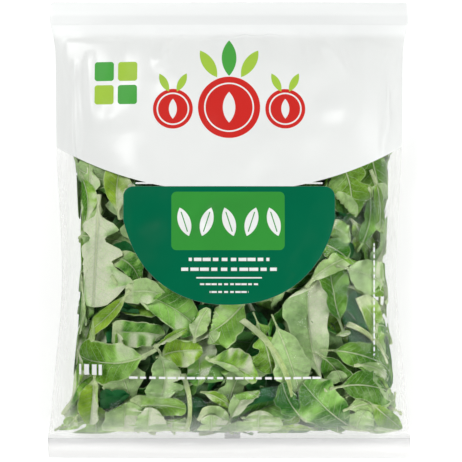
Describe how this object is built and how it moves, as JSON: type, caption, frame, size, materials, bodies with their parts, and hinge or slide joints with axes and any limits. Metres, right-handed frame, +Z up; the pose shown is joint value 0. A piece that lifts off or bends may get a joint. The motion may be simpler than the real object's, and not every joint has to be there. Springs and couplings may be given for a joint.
{
  "type": "bag of salad leaves",
  "caption": "Sealed pillow bag of clear film filled with rocket leaves, with a white printed head, a dark green panel and a flat seal at each end, lying on its back.",
  "frame": {"origin": "on the table, under the middle of the bag as it lies on its back", "axes": "+X across the bag, +Y along it from the bottom seal to the top seal, +Z up through its printed front"},
  "size_m": [0.25, 0.315, 0.061],
  "materials": {
    "clear_film": "clear glossy film over green leaves, printed white and dark green"
  },
  "bodies": {
    "root": {"bag": "clear_film"}
  },
  "joints": []
}
